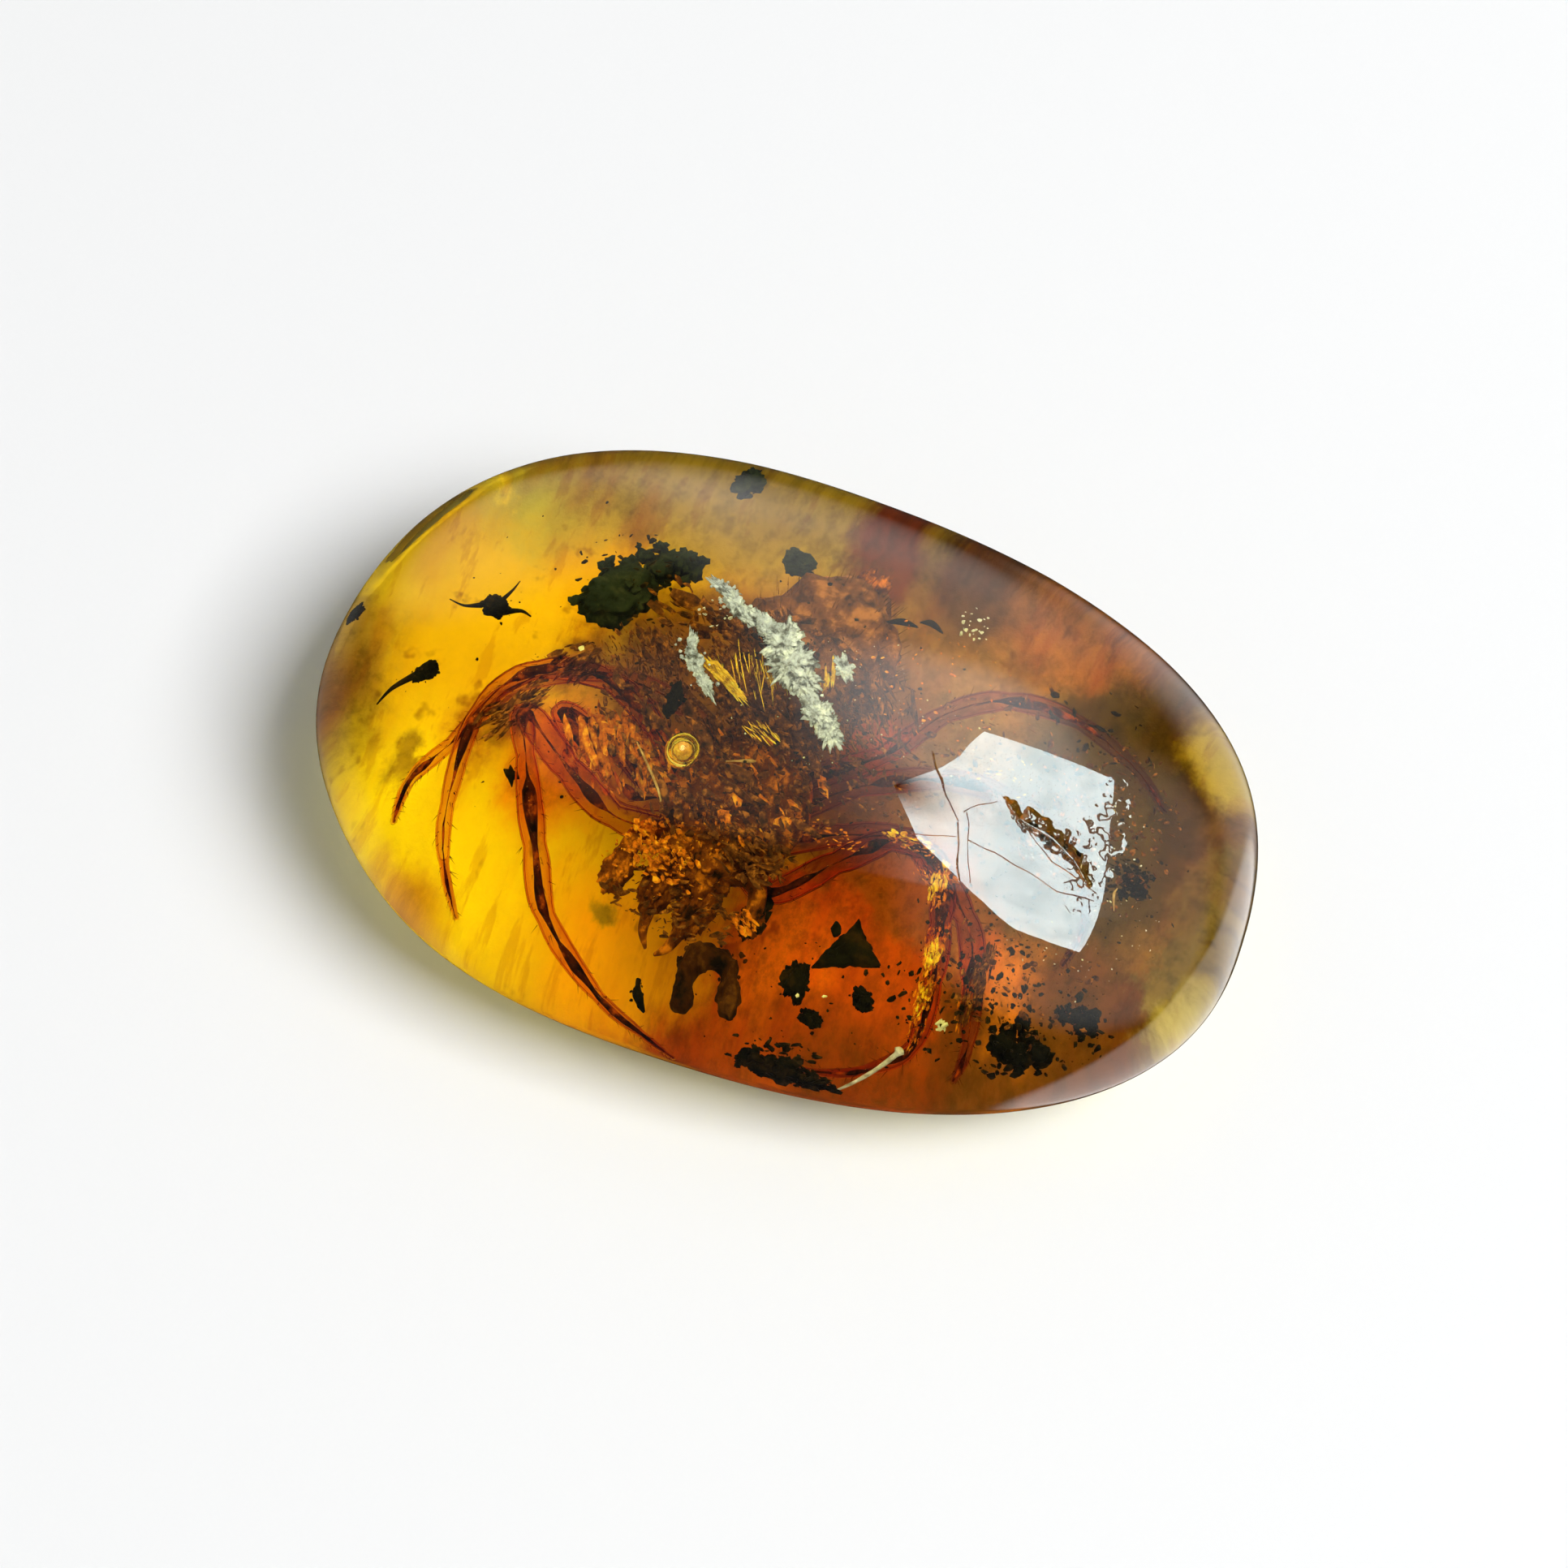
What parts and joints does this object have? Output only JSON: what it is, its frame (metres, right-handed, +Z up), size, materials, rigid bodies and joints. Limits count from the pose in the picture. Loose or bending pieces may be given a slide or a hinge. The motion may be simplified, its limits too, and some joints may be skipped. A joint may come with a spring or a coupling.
{
  "type": "spider in amber",
  "caption": "Polished oval amber stone with a fossil spider and dark scraps of forest litter sealed in it, lying on a flat underside.",
  "frame": {"origin": "middle of the stone's flat underside", "axes": "+X along the stone's long axis towards its more pointed end, +Z up from the underside, the spider's head towards -Y"},
  "size_m": [0.036, 0.0236, 0.0125],
  "materials": {
    "amber": "polished clear golden to red-brown resin",
    "cuticle": "dull translucent brown cuticle",
    "litter": "matte dark bark, soil and leaf scraps",
    "silver": "crumbly silver-white crust",
    "straw": "pale plant fibre"
  },
  "bodies": {
    "root": {"amber_top": "amber", "amber_bottom": "amber", "spider": "cuticle", "silver_crust": "silver", "silver_flake_left": "silver", "silver_flake_small": "silver", "bark_lump": "litter", "bark_shred": "litter", "tailed_crumb": "litter", "comma_crumb": "litter", "top_chip": "litter", "leaf_chip": "litter", "leaf_scrap": "litter", "seed_speck": "litter", "arch_scrap": "litter", "crescent_scrap": "litter", "soil_clot": "litter", "soil_clot_small": "litter", "soil_cluster": "litter", "edge_clot": "litter", "edge_speck": "litter", "small_chip": "litter", "drop_speck": "litter", "deep_chip": "litter", "pale_needle": "straw"}
  },
  "joints": []
}
